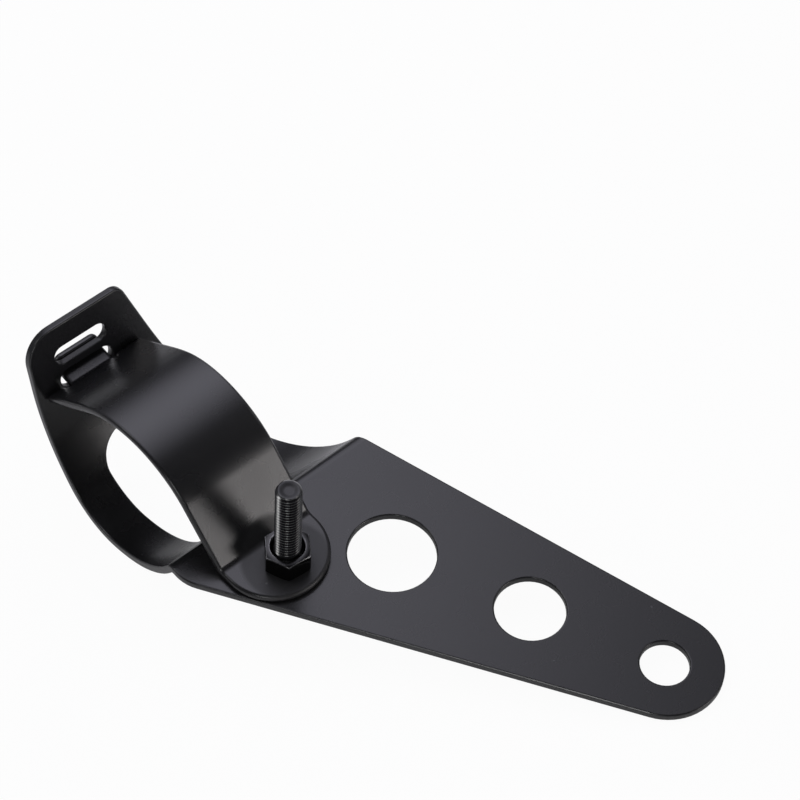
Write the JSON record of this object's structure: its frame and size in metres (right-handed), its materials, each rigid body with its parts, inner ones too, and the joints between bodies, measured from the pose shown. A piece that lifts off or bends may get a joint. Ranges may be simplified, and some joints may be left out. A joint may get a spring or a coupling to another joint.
{
  "type": "headlight mounting bracket",
  "caption": "Flat tapering headlight arm with holes in line, folded into a fork clamp whose hooked strap is drawn tight by a screw and nut.",
  "frame": {"origin": "on the axis of the fork tube, at the middle of the clamp strap", "axes": "+X forward from the fork tube to the lamp, +Y along the fork tube towards the arm's upper edge, +Z square to the arm's plate, on the strap's side"},
  "size_m": [0.1565, 0.081, 0.0499],
  "materials": {
    "arm_coating": "satin black coating on steel sheet",
    "strap_coating": "satin black coating on steel sheet",
    "screw_black": "glossy black plating on steel",
    "nut_black": "glossy black plating on steel"
  },
  "bodies": {
    "root": {"bracket_arm": "arm_coating", "clamp_strap": "strap_coating", "clamp_screw": "screw_black", "clamp_nut": "nut_black"}
  },
  "joints": []
}
